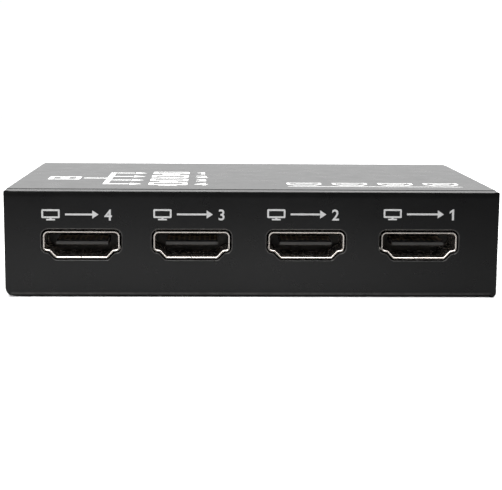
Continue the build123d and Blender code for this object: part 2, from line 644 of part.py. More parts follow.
with BuildPart() as step_down_converter:
    with BuildSketch(Plane.XY.offset(PCB_TOP + 0.1)):
        with Locations((31.0, 8.0)):
            Rectangle(4.9, 3.9)
    extrude(amount=1.45)
    for lead, line in gull_wings(31.0, 8.0, 1.95, 4, 1.27, 0.8):
        with BuildSketch(lead):
            with BuildLine():
                Polyline(*line, close=True)
            make_face()
        extrude(amount=0.2, both=True)
step_down_converter.part.label = "step_down_converter"
export_step(step_down_converter.part, "parts/step_down_converter.step")

with BuildPart() as voltage_regulator:
    # Three leads and a wide tab.
    with BuildSketch(Plane.XY.offset(PCB_TOP + 0.1)):
        with Locations((20.0, -8.0)):
            Rectangle(6.5, 3.5)
    extrude(amount=1.6)
    for dx, across in ((-2.3, 0.35), (0.0, 0.35), (2.3, 0.35)):
        with BuildSketch(Plane(origin=(20.0 + dx, -8.0, PCB_TOP), x_dir=(0, -1, 0), z_dir=(-1, 0, 0))):
            with BuildLine():
                Polyline((1.75, 0.9), (2.2, 0.9), (2.5, 0.25), (3.5, 0.25), (3.5, 0), (2.35, 0), (2.05, 0.65),
                         (1.75, 0.65), close=True)
            make_face()
        extrude(amount=across, both=True)
    with BuildSketch(Plane(origin=(20.0, -8.0, PCB_TOP), x_dir=(0, 1, 0), z_dir=(1, 0, 0))):
        with BuildLine():
            Polyline((1.75, 0.9), (2.2, 0.9), (2.5, 0.25), (3.5, 0.25), (3.5, 0), (2.35, 0), (2.05, 0.65),
                     (1.75, 0.65), close=True)
        make_face()
    extrude(amount=1.5, both=True)
voltage_regulator.part.label = "voltage_regulator"
export_step(voltage_regulator.part, "parts/voltage_regulator.step")

with BuildPart() as power_inductor:
    # Square shielded drum.
    with BuildSketch(Plane.XY.offset(PCB_TOP)):
        with Locations((21.5, 8.0)):
            RectangleRounded(7.0, 7.0, 1.2)
    extrude(amount=3.4)
    with BuildSketch(Plane.XY.offset(PCB_TOP + 3.4)):
        with Locations((21.5, 8.0)):
            Circle(2.7)
            Circle(2.3, mode=Mode.SUBTRACT)
    extrude(amount=-0.5, mode=Mode.SUBTRACT)
power_inductor.part.label = "power_inductor"
export_step(power_inductor.part, "parts/power_inductor.step")

CAN_XY = [(33.0, -4.0), (41.0, 24.0)]
with BuildPart() as bulk_capacitors:
    # Aluminium cans, rolled in above the foot and vented on top.
    with BuildSketch(Plane.XY.offset(PCB_TOP + 0.9)):
        with Locations(*CAN_XY):
            Circle(3.1)
    extrude(amount=6.2)
    fillet(bulk_capacitors.edges().group_by(Axis.Z)[-1], 0.4)
    with BuildSketch(Plane.XY.offset(PCB_TOP + 2.0)):
        with Locations(*CAN_XY):
            Circle(3.2)
            Circle(2.85, mode=Mode.SUBTRACT)
    extrude(amount=0.5, mode=Mode.SUBTRACT)
    with BuildSketch(Plane.XY.offset(PCB_TOP + 7.1)):
        with Locations(*CAN_XY):
            Rectangle(3.6, 0.15)
    extrude(amount=-0.2, mode=Mode.SUBTRACT)
bulk_capacitors.part.label = "bulk_capacitors"
export_step(bulk_capacitors.part, "parts/bulk_capacitors.step")

with BuildPart() as capacitor_feet:
    with BuildSketch(Plane.XY.offset(PCB_TOP)):
        with Locations(*CAN_XY):
            Rectangle(6.6, 6.6)
    extrude(amount=0.9)
    chamfer(capacitor_feet.edges().filter_by(Axis.Z).group_by(Axis.X)[0], 0.8)
capacitor_feet.part.label = "capacitor_feet"
export_step(capacitor_feet.part, "parts/capacitor_feet.step")

with BuildPart() as crystal:
    with BuildSketch(Plane.XY.offset(PCB_TOP + 0.3)):
        with Locations((-13.0, 14.6)):
            SlotOverall(10.6, 4.3)
    extrude(amount=3.4)
    fillet(crystal.edges().group_by(Axis.Z)[-1], 0.5)
    with BuildSketch(Plane.XY.offset(PCB_TOP)):
        with Locations((-13.0, 14.6)):
            Rectangle(11.4, 4.7)
    extrude(amount=0.3)
crystal.part.label = "crystal"
export_step(crystal.part, "parts/crystal.step")

with BuildPart() as resettable_fuse:
    with BuildSketch(Plane.XY.offset(PCB_TOP)):
        with Locations((25.4, 15.2)):
            Rectangle(4.5, 3.2)
    extrude(amount=0.8)
    chamfer(resettable_fuse.edges().group_by(Axis.Z)[-1], 0.1)
resettable_fuse.part.label = "resettable_fuse"
export_step(resettable_fuse.part, "parts/resettable_fuse.step")

# Surge protection: two ten-lead arrays behind each socket.
with BuildPart() as surge_arrays:
    with BuildSketch(Plane.XY.offset(PCB_TOP)):
        for _, x, side in PORTS:
            with Locations((x - 2.5, side * 15.2), (x + 2.5, side * 15.2)):
                Rectangle(2.5, 1.0)
    extrude(amount=0.55)
surge_arrays.part.label = "surge_arrays"
export_step(surge_arrays.part, "parts/surge_arrays.step")

with BuildPart() as chip_resistors:
    with BuildSketch(Plane.XY.offset(PCB_TOP)):
        for _, x, side in PORTS:
            with Locations(*[(x + dx, side * 13.2) for dx in (-3.75, -2.25, -0.75, 0.75, 2.25, 3.75)]):
                Rectangle(0.5, 1.0)
        with Locations((-10.5, 5.5), (-10.5, -1.0), (-10.5, -4.5), (10.5, 2.0), (10.5, -6.0), (36.5, 7.0),
                       (-36.5, -5.0), (-36.5, -3.0), (-36.5, 3.0), (14.8, -8.0)):
            Rectangle(1.0, 0.5)
    extrude(amount=0.35)
chip_resistors.part.label = "chip_resistors"
export_step(chip_resistors.part, "parts/chip_resistors.step")

with BuildPart() as chip_capacitors:
    with BuildSketch(Plane.XY.offset(PCB_TOP)):
        with Locations((-5.0, 7.0), (-2.5, 7.0), (0.0, 7.0), (2.5, 7.0), (5.0, 7.0), (-21.0, 3.0), (-24.0, 3.0),
                       (12.5, -1.5), (25.5, -8.0), (-8.0, 17.5), (36.5, 2.5), (26.5, 3.0)):
            Rectangle(1.6, 0.8)
        with Locations((15.0, 3.0), (15.0, 13.0), (24.5, -12.6)):
            Rectangle(3.2, 1.6)
    extrude(amount=0.8)
chip_capacitors.part.label = "chip_capacitors"
export_step(chip_capacitors.part, "parts/chip_capacitors.step")
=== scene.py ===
import math

import bpy
import numpy as np
from mathutils import Matrix, Vector


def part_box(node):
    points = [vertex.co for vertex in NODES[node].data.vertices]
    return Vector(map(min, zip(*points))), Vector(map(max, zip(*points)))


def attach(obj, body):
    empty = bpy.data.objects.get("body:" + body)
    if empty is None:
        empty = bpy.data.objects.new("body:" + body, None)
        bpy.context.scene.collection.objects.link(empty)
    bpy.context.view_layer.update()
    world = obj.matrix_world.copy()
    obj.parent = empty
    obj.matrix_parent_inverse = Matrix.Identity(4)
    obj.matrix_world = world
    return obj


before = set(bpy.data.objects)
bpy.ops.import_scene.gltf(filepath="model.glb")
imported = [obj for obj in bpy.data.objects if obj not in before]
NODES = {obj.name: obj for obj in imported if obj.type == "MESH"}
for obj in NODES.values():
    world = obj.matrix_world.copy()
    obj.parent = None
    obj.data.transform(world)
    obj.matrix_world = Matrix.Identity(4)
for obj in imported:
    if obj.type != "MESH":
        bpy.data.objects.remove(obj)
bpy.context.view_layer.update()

MM = 0.001
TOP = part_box("top_cover")[1][2]
FRONT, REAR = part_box("bottom_tray")[0][1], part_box("bottom_tray")[1][1]
scene = bpy.context.scene


# ------------------------------------------------------------------ camera
# Fitted to the outline, the top face and the four sockets. Image 502 x 490.
FOCAL_PX = 1226.73
PITCH, YAW, ROLL = math.radians(9.0313), math.radians(-1.8209), math.radians(0.4560)
EYE = Vector((-7.748, -262.481, 47.401)) * MM

forward = Vector((-math.sin(YAW) * math.cos(PITCH), math.cos(YAW) * math.cos(PITCH), -math.sin(PITCH)))
level = Vector((math.cos(YAW), math.sin(YAW), 0.0))
over = level.cross(forward)
right = math.cos(ROLL) * level + math.sin(ROLL) * over
up = -math.sin(ROLL) * level + math.cos(ROLL) * over

camera_data = bpy.data.cameras.new("camera")
camera = bpy.data.objects.new("camera", camera_data)
scene.collection.objects.link(camera)
camera.matrix_world = Matrix((
    (right.x, up.x, -forward.x, EYE.x),
    (right.y, up.y, -forward.y, EYE.y),
    (right.z, up.z, -forward.z, EYE.z),
    (0, 0, 0, 1)))
camera_data.sensor_width = 36.0
camera_data.lens = FOCAL_PX / 502 * 36.0
camera_data.clip_start, camera_data.clip_end = 0.01, 20.0
scene.camera = camera


# ------------------------------------------------------------------ node helpers
class Nodes:
    """Short forms for building one node tree."""

    def __init__(self, tree):
        self.tree = tree

    def new(self, kind, **settings):
        node = self.tree.nodes.new(kind)
        for key, value in settings.items():
            setattr(node, key, value)
        return node

    def link(self, a, b):
        self.tree.links.new(a, b)

    def put(self, socket, value):
        """A linked socket or a constant."""
        if isinstance(value, bpy.types.NodeSocket):
            self.link(value, socket)
        else:
            socket.default_value = value

    def math(self, operation, a, b=None, c=None, clamp=False):
        node = self.new("ShaderNodeMath", operation=operation, use_clamp=clamp)
        for i, value in enumerate((a, b, c)):
            if value is not None:
                self.put(node.inputs[i], value)
        return node.outputs[0]

    def object_coords(self):
        return self.new("ShaderNodeTexCoord").outputs["Object"]

    def separate(self, vector):
        node = self.new("ShaderNodeSeparateXYZ")
        self.link(vector, node.inputs[0])
        return node.outputs

    def stretch(self, vector, scale):
        node = self.new("ShaderNodeMapping")
        self.link(vector, node.inputs["Vector"])
        node.inputs["Scale"].default_value = scale
        return node.outputs[0]

    def noise(self, vector, scale, detail=2.0, rough=0.5, distortion=0.0):
        node = self.new("ShaderNodeTexNoise")
        self.link(vector, node.inputs["Vector"])
        node.inputs["Scale"].default_value = scale
        node.inputs["Detail"].default_value = detail
        node.inputs["Roughness"].default_value = rough
        node.inputs["Distortion"].default_value = distortion
        return node.outputs[0]

    def voronoi(self, vector, scale, feature="F1"):
        node = self.new("ShaderNodeTexVoronoi", feature=feature)
        self.link(vector, node.inputs["Vector"])
        node.inputs["Scale"].default_value = scale
        return node.outputs[0]

    def span(self, value, low, high, to_low=0.0, to_high=1.0, smooth=False):
        node = self.new("ShaderNodeMapRange", interpolation_type="SMOOTHSTEP" if smooth else "LINEAR")
        self.put(node.inputs["Value"], value)
        node.inputs["From Min"].default_value = low
        node.inputs["From Max"].default_value = high
        node.inputs["To Min"].default_value = to_low
        node.inputs["To Max"].default_value = to_high
        return node.outputs["Result"]

    def mix(self, factor, a, b):
        node = self.new("ShaderNodeMix", data_type="RGBA")
        self.put(node.inputs[0], factor)
        for socket, value in ((node.inputs[6], a), (node.inputs[7], b)):
            if isinstance(value, bpy.types.NodeSocket):
                self.link(value, socket)
            else:
                socket.default_value = (*value, 1.0)
        return node.outputs[2]

    def bump(self, heights, normal=None):
        """heights: (socket, strength, distance) laid over each other."""
        for height, strength, distance in heights:
            node = self.new("ShaderNodeBump")
            node.inputs["Strength"].default_value = strength
            node.inputs["Distance"].default_value = distance
            self.link(height, node.inputs["Height"])
            if normal is not None:
                self.link(normal, node.inputs["Normal"])
            normal = node.outputs[0]
        return normal


def material(name, **constants):
    """A Principled material; constants go on the shader's own sockets."""
    made = bpy.data.materials.new(name)
    made.use_nodes = True
    tree = made.node_tree
    tree.nodes.clear()
    n = Nodes(tree)
    shader = n.new("ShaderNodeBsdfPrincipled")
    out = n.new("ShaderNodeOutputMaterial")
    n.link(shader.outputs[0], out.inputs["Surface"])
    for key, value in constants.items():
        socket = shader.inputs[key.replace("_", " ")]
        socket.default_value = (*value, 1.0) if isinstance(value, tuple) and len(value) == 3 else value
    return made, n, shader.inputs


def finish_surface(n, sockets, dark, light, rough, colour_scale, rough_scale, bumps, vector=None):
    """Colour between dark and light, roughness between rough[0] and rough[1], and small bumps."""
    at = vector or n.object_coords()
    drift = n.span(n.noise(at, colour_scale, 3.0, 0.55), 0.30, 0.70)
    n.link(n.mix(drift, dark, light), sockets["Base Color"])
    n.link(n.span(n.noise(at, rough_scale, 4.0, 0.6), 0.30, 0.70, rough[0], rough[1]), sockets["Roughness"])
    if bumps:
        n.link(n.bump([(n.noise(at, s, 2.0, 0.5), strength, distance) for s, strength, distance in bumps]),
               sockets["Normal"])
    return at


# ------------------------------------------------------------------ materials
def case_paint():
    made, n, s = material("case_paint", IOR=1.47)
    at = n.object_coords()
    # Satin powder coat: shallow grains about 0.25 mm across on a slow swell.
    grain = n.voronoi(at, 3600.0, "SMOOTH_F1")
    swell = n.noise(at, 900.0, 2.0, 0.5)
    fine = n.noise(at, 9000.0, 2.0, 0.6)
    # The bend's slow start, under the case's top edge.
    z = n.separate(at)[2]
    rise = n.math("MAXIMUM", n.math("SUBTRACT", z, 0.0193), 0.0)
    bend = n.math("MULTIPLY", n.math("MULTIPLY", rise, rise), -70.0)
    n.link(n.bump([(bend, 1.0, 1.0), (swell, 0.06, 0.00004), (grain, 0.13, 0.00003), (fine, 0.10, 0.00001)]), s["Normal"])
    drift = n.span(n.noise(at, 60.0, 3.0, 0.55), 0.3, 0.7)
    speck = n.span(n.noise(at, 5200.0, 2.0, 0.6), 0.60, 0.75)
    base = n.mix(drift, (0.0034, 0.0034, 0.0036), (0.0052, 0.0052, 0.0054))
    colour = n.mix(n.math("MULTIPLY", speck, 0.5), base, (0.010, 0.010, 0.0105))
    facing = n.separate(n.new("ShaderNodeTexCoord").outputs["Normal"])
    upright = n.span(facing[2], 0.3, 0.7, 1.0, 0.0)
    # Painted shade: upright faces darken towards near black from 19.3 mm up to the case's top edge.
    painted_shade_under_top_edge = n.math("MULTIPLY", upright, n.span(z, 0.0193, 0.0202, 0.0, 0.8))
    colour = n.mix(painted_shade_under_top_edge, colour, (0.0008, 0.0008, 0.0008))
    # Painted highlight: lighter, uneven colour on the rounded edges of the front and rear panels.
    lean = n.math("ABSOLUTE", facing[1])
    edge = n.math("MULTIPLY", n.span(lean, 0.15, 0.45, 0.0, 1.0), n.span(lean, 0.90, 0.985, 1.0, 0.0))
    edge = n.math("MULTIPLY", edge, n.span(n.math("ABSOLUTE", n.separate(at)[1]), 0.0286, 0.0287, 0.0, 1.0))
    edge = n.math("MULTIPLY", edge, n.span(n.noise(at, 700.0, 2.0, 0.5), 0.30, 0.60, 0.6, 1.0))
    n.link(n.mix(edge, colour, (0.075, 0.074, 0.072)), s["Base Color"])
    n.link(n.span(n.noise(at, 240.0, 4.0, 0.6), 0.30, 0.70, 0.265, 0.305), s["Roughness"])
    return made


def metal(name, dark, light, rough, colour_scale=350.0, rough_scale=900.0, bumps=(), **constants):
    made, n, s = material(name, Metallic=1.0, **constants)
    finish_surface(n, s, dark, light, rough, colour_scale, rough_scale, bumps)
    return made


def plain(name, dark, light, rough, colour_scale=400.0, rough_scale=900.0, bumps=(), **constants):
    made, n, s = material(name, **constants)
    finish_surface(n, s, dark, light, rough, colour_scale, rough_scale, bumps)
    return made


def receptacle_plastic():
    """Dark moulding, its upward-facing surfaces darkened as painted shade; a pale brown patchy layer on the tongue's
    upper side, behind its bevel, grows stronger deeper inside as painted light.
    """
    made, n, s = material("receptacle_plastic")
    at = finish_surface(n, s, (0.045, 0.044, 0.043), (0.065, 0.064, 0.062), (0.42, 0.55), 400.0, 900.0,
                        ((5000.0, 0.2, 0.00001),))
    x, y, z = n.separate(at)
    facing = n.separate(n.new("ShaderNodeTexCoord").outputs["Normal"])[2]
    inward = n.span(n.math("ABSOLUTE", y), 0.0205, 0.0262, 1.0, 0.0)
    up = n.span(facing, 0.6, 0.9)
    # Painted light: a pale brown patchy layer on upward faces, stronger deeper inside the socket.
    painted_light_deep_inside = n.math("MULTIPLY", up, inward)
    painted_light_deep_inside = n.math("MULTIPLY", painted_light_deep_inside, n.span(n.noise(at, 1500.0, 3.0, 0.6), 0.25, 0.60, 0.45, 1.0))
    # Painted shade: upward-facing surfaces darkened to near black.
    clean = n.mix(up, s["Base Color"].links[0].from_socket, (0.012, 0.012, 0.012))
    n.link(n.mix(painted_light_deep_inside, clean, (0.60, 0.46, 0.37)), s["Base Color"])
    return made


def contact_gold():
    """Gold flash, darkened towards the socket's mouth as painted shade."""
    made, n, s = material("gold_flash", Metallic=0.86)
    at = finish_surface(n, s, (0.46, 0.36, 0.25), (0.60, 0.48, 0.34), (0.34, 0.48), 400.0, 900.0,
                        ((4000.0, 0.3, 0.00001),))
    y = n.separate(at)[1]
    # Painted shade: the contacts darken towards the socket's mouth.
    painted_shade_at_mouth = n.span(n.math("ABSOLUTE", y), 0.0205, 0.0262, 0.0, 0.50)
    clean = s["Base Color"].links[0].from_socket
    n.link(n.mix(painted_shade_at_mouth, clean, (0.10, 0.085, 0.07)), s["Base Color"])
    return made


PAINT = case_paint()
NICKEL = metal("bright_nickel", (0.77, 0.71, 0.655), (0.87, 0.82, 0.77), (0.20, 0.30),
               bumps=((2600.0, 0.15, 0.00001),))
STEEL = metal("zinc_plate", (0.56, 0.56, 0.55), (0.68, 0.68, 0.66), (0.28, 0.42),
              bumps=((3000.0, 0.2, 0.00001),))
BLACK_ZINC = metal("black_zinc", (0.030, 0.030, 0.032), (0.055, 0.055, 0.058), (0.30, 0.42),
                   bumps=((4000.0, 0.2, 0.00001),))
GOLD = contact_gold()
TIN = metal("tinned", (0.62, 0.62, 0.62), (0.76, 0.76, 0.75), (0.30, 0.45),
            bumps=((3500.0, 0.25, 0.00001),))
CAN = metal("drawn_aluminium", (0.70, 0.70, 0.71), (0.80, 0.80, 0.81), (0.24, 0.34))
ANODISED = metal("black_anodised", (0.030, 0.030, 0.031), (0.055, 0.055, 0.056), (0.42, 0.55),
                 bumps=((4500.0, 0.3, 0.00001),))
CLIP = metal("contact_clip", (0.72, 0.48, 0.26), (0.82, 0.60, 0.34), (0.22, 0.34))
TONGUE = receptacle_plastic()
BLACK_PLASTIC = plain("black_plastic", (0.014, 0.014, 0.014), (0.022, 0.022, 0.022), (0.42, 0.56),
                      bumps=((3800.0, 0.35, 0.00002),))
LEVER = plain("lever_plastic", (0.018, 0.018, 0.019), (0.028, 0.028, 0.029), (0.34, 0.46),
              bumps=((4200.0, 0.25, 0.00001),))
EPOXY = plain("chip_epoxy", (0.020, 0.020, 0.021), (0.036, 0.036, 0.037), (0.50, 0.65),
              bumps=((6000.0, 0.4, 0.00001),))
PAD = plain("thermal_pad", (0.38, 0.45, 0.54), (0.48, 0.55, 0.64), (0.65, 0.80),
            bumps=((1500.0, 0.3, 0.00003),))
FERRITE = plain("ferrite", (0.07, 0.07, 0.072), (0.12, 0.12, 0.122), (0.60, 0.75),
                bumps=((3000.0, 0.5, 0.00002),))
LED = plain("led_lens", (0.80, 0.78, 0.58), (0.88, 0.86, 0.70), (0.30, 0.45))


def clear_plastic():
    made, n, s = material("clear_plastic", IOR=1.49, Transmission_Weight=0.85)
    finish_surface(n, s, (0.86, 0.88, 0.88), (0.94, 0.95, 0.95), (0.10, 0.22), 300.0, 1200.0,
                   ((2500.0, 0.1, 0.00001),))
    return made


def board():
    """Green solder mask over copper traces; bare laminate on the cut edges."""
    made, n, s = material("solder_mask")
    at = n.object_coords()
    x, y, z = n.separate(at)
    lane = n.new("ShaderNodeTexBrick")
    n.link(at, lane.inputs["Vector"])
    lane.inputs["Scale"].default_value = 1.0
    lane.inputs["Brick Width"].default_value = 0.0090
    lane.inputs["Row Height"].default_value = 0.0007
    lane.inputs["Mortar Size"].default_value = 0.00018
    lane.inputs["Mortar Smooth"].default_value = 0.3
    traces = n.math("SUBTRACT", 1.0, lane.outputs["Fac"])
    pour = n.span(n.noise(at, 130.0, 2.0, 0.5), 0.46, 0.50)
    copper = n.math("MULTIPLY", traces, pour)
    mask = n.mix(copper, (0.010, 0.055, 0.026), (0.020, 0.110, 0.048))
    middle = n.math("ABSOLUTE", n.math("SUBTRACT", z, 0.0063))
    edge = n.math("LESS_THAN", middle, 0.00078)
    weave = n.span(n.noise(n.stretch(at, (1, 1, 6)), 1800.0), 0.3, 0.7)
    laminate = n.mix(weave, (0.26, 0.28, 0.13), (0.38, 0.38, 0.20))
    n.link(n.mix(edge, mask, laminate), s["Base Color"])
    n.link(n.span(n.noise(at, 700.0), 0.3, 0.7, 0.26, 0.38), s["Roughness"])
    n.link(n.bump([(copper, 0.5, 0.00003), (n.noise(at, 3000.0), 0.1, 0.00001)]), s["Normal"])
    return made


def near(n, value, middle, half):
    """1 where value (m) lies within half of middle (both mm)."""
    return n.math("LESS_THAN", n.math("ABSOLUTE", n.math("SUBTRACT", value, middle * MM)), half * MM + 1e-6)


def two_tone(name, body_where, dark=(0.020, 0.020, 0.021), light=(0.036, 0.036, 0.037), rough=(0.42, 0.60)):
    """Small part: its body where body_where(n, x, y) says so, tinned metal elsewhere."""
    made, n, s = material(name)
    at = n.object_coords()
    x, y, z = n.separate(at)
    lead = n.math("SUBTRACT", 1.0, body_where(n, x, y))
    drift = n.span(n.noise(at, 900.0), 0.3, 0.7)
    body = n.mix(drift, dark, light)
    tin = n.mix(drift, (0.62, 0.62, 0.62), (0.76, 0.76, 0.75))
    n.link(n.mix(lead, body, tin), s["Base Color"])
    n.link(lead, s["Metallic"])
    n.link(n.span(n.noise(at, 2600.0), 0.3, 0.7, rough[0], rough[1]), s["Roughness"])
    n.link(n.bump([(n.noise(at, 6000.0), 0.3, 0.00001)]), s["Normal"])
    return made


def in_boxes(boxes):
    """Inside any of the boxes (middle x, middle y, half x, half y in mm)."""
    def where(n, x, y):
        inside = None
        for mx, my, hx, hy in boxes:
            here = n.math("MULTIPLY", near(n, x, mx, hx), near(n, y, my, hy))
            inside = here if inside is None else n.math("MAXIMUM", inside, here)
        return inside
    return where


def resistor_body(n, x, y):
    """Those behind the sockets lie along y, the others along x."""
    beside = near(n, n.math("ABSOLUTE", y), 13.2, 0.6)
    along_y = n.math("MULTIPLY", beside, near(n, n.math("ABSOLUTE", y), 13.2, 0.3))
    along_x = None
    for middle in (10.5, 14.8, 36.5):
        here = near(n, n.math("ABSOLUTE", x), middle, 0.3)
        along_x = here if along_x is None else n.math("MAXIMUM", along_x, here)
    return n.math("MAXIMUM", along_y, n.math("MULTIPLY", n.math("SUBTRACT", 1.0, beside), along_x))


CLEAR = clear_plastic()
BOARD = board()
RESISTOR = two_tone("chip_resistor", resistor_body, (0.018, 0.018, 0.020), (0.032, 0.032, 0.034), (0.25, 0.40))
CAPACITOR = two_tone("chip_capacitor", in_boxes(
    [(x, y, 0.5, 0.45) for x, y in ((-5.0, 7.0), (-2.5, 7.0), (0.0, 7.0), (2.5, 7.0), (5.0, 7.0), (-21.0, 3.0), (-24.0, 3.0),
                                    (12.5, -1.5), (25.5, -8.0), (-8.0, 17.5), (36.5, 2.5), (26.5, 3.0))]
    + [(x, y, 1.1, 0.85) for x, y in ((15.0, 3.0), (15.0, 13.0), (24.5, -12.6))]),
    (0.36, 0.26, 0.17), (0.48, 0.36, 0.24), (0.45, 0.60))
FUSE = two_tone("fuse_coat", in_boxes([(25.4, 15.2, 1.7, 1.7)]), (0.03, 0.18, 0.09), (0.05, 0.27, 0.13), (0.25, 0.35))

LOOKS = {
    "bottom_tray": PAINT, "top_cover": PAINT, "cover_screws": BLACK_ZINC,
    "pcb_standoffs": STEEL, "pcb_screws": STEEL, "main_pcb": BOARD,
    "dc_jack_body": BLACK_PLASTIC, "dc_jack_pin": NICKEL, "dc_jack_leaf_contact": NICKEL,
    "switch_base": BLACK_PLASTIC, "switch_terminals": TIN, "switch_frame": STEEL,
    "switch_lever": LEVER, "switch_contact_clip": CLIP,
    "light_guide": CLEAR, "status_leds": LED,
    "splitter_chip": EPOXY, "splitter_chip_leads": TIN, "thermal_pad": PAD, "heatsink": ANODISED,
    "control_microcontroller": two_tone("twenty_lead_package", in_boxes([(-27.0, -4.0, 6.4, 3.75)])),
    "display_data_memory": two_tone("eight_lead_packages", in_boxes([(-19.0, 8.5, 2.45, 1.95), (-29.5, 8.5, 2.45, 1.95)])),
    "step_down_converter": two_tone("converter_package", in_boxes([(31.0, 8.0, 2.45, 1.95)])),
    "voltage_regulator": two_tone("regulator_package", in_boxes([(20.0, -8.0, 3.25, 1.75)])),
    "power_inductor": FERRITE, "bulk_capacitors": CAN, "capacitor_feet": BLACK_PLASTIC,
    "crystal": STEEL, "resettable_fuse": FUSE, "surge_arrays": EPOXY,
    "chip_resistors": RESISTOR, "chip_capacitors": CAPACITOR,
}
for port in ("output_1", "output_2", "output_3", "output_4", "input"):
    LOOKS["hdmi_%s_shell" % port] = NICKEL
    LOOKS["hdmi_%s_insulator" % port] = TONGUE
    LOOKS["hdmi_%s_contacts" % port] = GOLD

for name, node in NODES.items():
    look = LOOKS[name]
    if not node.data.materials:
        node.data.materials.append(look)
    for slot in node.material_slots:
        slot.material = look


# ------------------------------------------------------------------ printed marks
def ink(name, dark, light):
    made, n, s = material(name)
    at = n.object_coords()
    cover = n.span(n.noise(at, 2600.0, 3.0, 0.6), 0.25, 0.55)
    n.link(n.mix(cover, dark, light), s["Base Color"])
    n.link(n.span(n.noise(at, 1800.0), 0.3, 0.7, 0.48, 0.62), s["Roughness"])
    n.link(n.bump([(n.noise(at, 3600.0), 0.3, 0.00001)]), s["Normal"])
    return made


WHITE_INK = ink("white_ink", (0.74, 0.74, 0.73), (0.84, 0.84, 0.83))
# Painted shade: the front and rear print is the same white ink, drawn darker.
SHADED_WHITE_INK = ink("white_ink_painted_shade", (0.51, 0.51, 0.51), (0.60, 0.60, 0.60))
INK_THICK = 0.012           # mm
INK_LIFT = 0.003


def outline_box(x0, y0, x1, y1, r=0.0, steps=4):
    if r <= 0:
        return [(x0, y0), (x1, y0), (x1, y1), (x0, y1)]
    points = []
    for cx, cy, a in ((x1 - r, y0 + r, -90), (x1 - r, y1 - r, 0), (x0 + r, y1 - r, 90), (x0 + r, y0 + r, 180)):
        for i in range(steps + 1):
            t = math.radians(a + 90 * i / steps)
            points.append((cx + r * math.cos(t), cy + r * math.sin(t)))
    return points


def frame_box(x0, y0, x1, y1, line, r=0.0):
    return [outline_box(x0, y0, x1, y1, r), outline_box(x0 + line, y0 + line, x1 - line, y1 - line, max(0.0, r - line))]


def circle(cx, cy, r, steps=32):
    return [(cx + r * math.cos(2 * math.pi * i / steps), cy + r * math.sin(2 * math.pi * i / steps)) for i in range(steps)]


def ring(cx, cy, r, line):
    return [circle(cx, cy, r), circle(cx, cy, r - line)]


def arrow(x0, x1, y, line, head, spread):
    """Arrow along +x as one outline."""
    h = line / 2
    return [[(x0, y - h), (x1 - head, y - h), (x1 - head, y - spread), (x1, y), (x1 - head, y + spread),
             (x1 - head, y + h), (x0, y + h)]]


def screen_sign(x0, y0, w, h, line):
    """Outline of a screen on a foot, w by h, foot included."""
    foot = h * 0.20
    low = y0 + foot
    return (frame_box(x0, low, x0 + w, y0 + h, line, line * 0.6)
            + [outline_box(x0 + w * 0.26, y0, x0 + w * 0.74, y0 + line * 0.85)]
            + [outline_box(x0 + w * 0.44, y0 + line * 0.85 + 0.001, x0 + w * 0.56, low - 0.001)])


def flat_mesh(name, outlines):
    """Closed outlines (mm) as one thin filled plate; an outline inside another is a hole."""
    curve = bpy.data.curves.new(name + "_curve", "CURVE")
    curve.dimensions = "2D"
    curve.fill_mode = "BOTH"
    curve.extrude = INK_THICK / 2 * MM
    for points in outlines:
        spline = curve.splines.new("POLY")
        spline.points.add(len(points) - 1)
        for p, (x, y) in zip(spline.points, points):
            p.co = (x * MM, y * MM, 0, 1)
        spline.use_cyclic_u = True
    carrier = bpy.data.objects.new(name + "_carrier", curve)
    mesh = bpy.data.meshes.new_from_object(carrier)
    bpy.data.objects.remove(carrier)
    return mesh


FIGURE_ONE = [(0.30, 0.0), (0.49, 0.0), (0.49, 1.0), (0.37, 1.0), (0.08, 0.79), (0.08, 0.60), (0.30, 0.75)]


def numeral_mesh(name, text, cap, x, y, align="LEFT", bold=0.016):
    """Plain numerals or letters as a thin filled plate; cap is the height of a figure in mm."""
    if text == "1":
        return flat_mesh(name, [[(x + u * cap, y + v * cap) for u, v in FIGURE_ONE]])
    curve = bpy.data.curves.new(name + "_text", "FONT")
    curve.body = text
    curve.align_x = align
    curve.size = 1.0
    curve.offset = bold
    curve.extrude = INK_THICK / 2 * MM / 1.0
    curve.resolution_u = 6
    carrier = bpy.data.objects.new(name + "_carrier", curve)
    mesh = bpy.data.meshes.new_from_object(carrier)
    bpy.data.objects.remove(carrier)
    co = np.array([v.co for v in mesh.vertices])
    low, high = co[:, 1].min(), co[:, 1].max()
    scale = cap * MM / (high - low)
    co[:, 0] = co[:, 0] * scale + x * MM
    co[:, 1] = (co[:, 1] - low) * scale + y * MM
    mesh.vertices.foreach_set("co", co.astype(np.float32).ravel())
    return mesh


def place(name, meshes, face):
    """Joins plates drawn in x, y and lays them on a face of the case."""
    verts, faces = [], []
    for mesh in meshes:
        base = len(verts)
        for v in mesh.vertices:
            x, y, h = v.co
            h += (INK_THICK / 2 + INK_LIFT) * MM
            if face == "front":
                verts.append((x, FRONT - h, y))
            elif face == "rear":
                verts.append((-x, REAR + h, y))
            else:
                verts.append((x, y, TOP + h))
        faces += [tuple(base + i for i in p.vertices) for p in mesh.polygons]
    made = bpy.data.meshes.new(name)
    made.from_pydata(verts, [], faces)
    made.materials.append(WHITE_INK if face == "top" else SHADED_WHITE_INK)
    made.validate()
    made.update()
    piece = bpy.data.objects.new(name, made)
    scene.collection.objects.link(piece)
    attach(piece, "housing")
    return piece


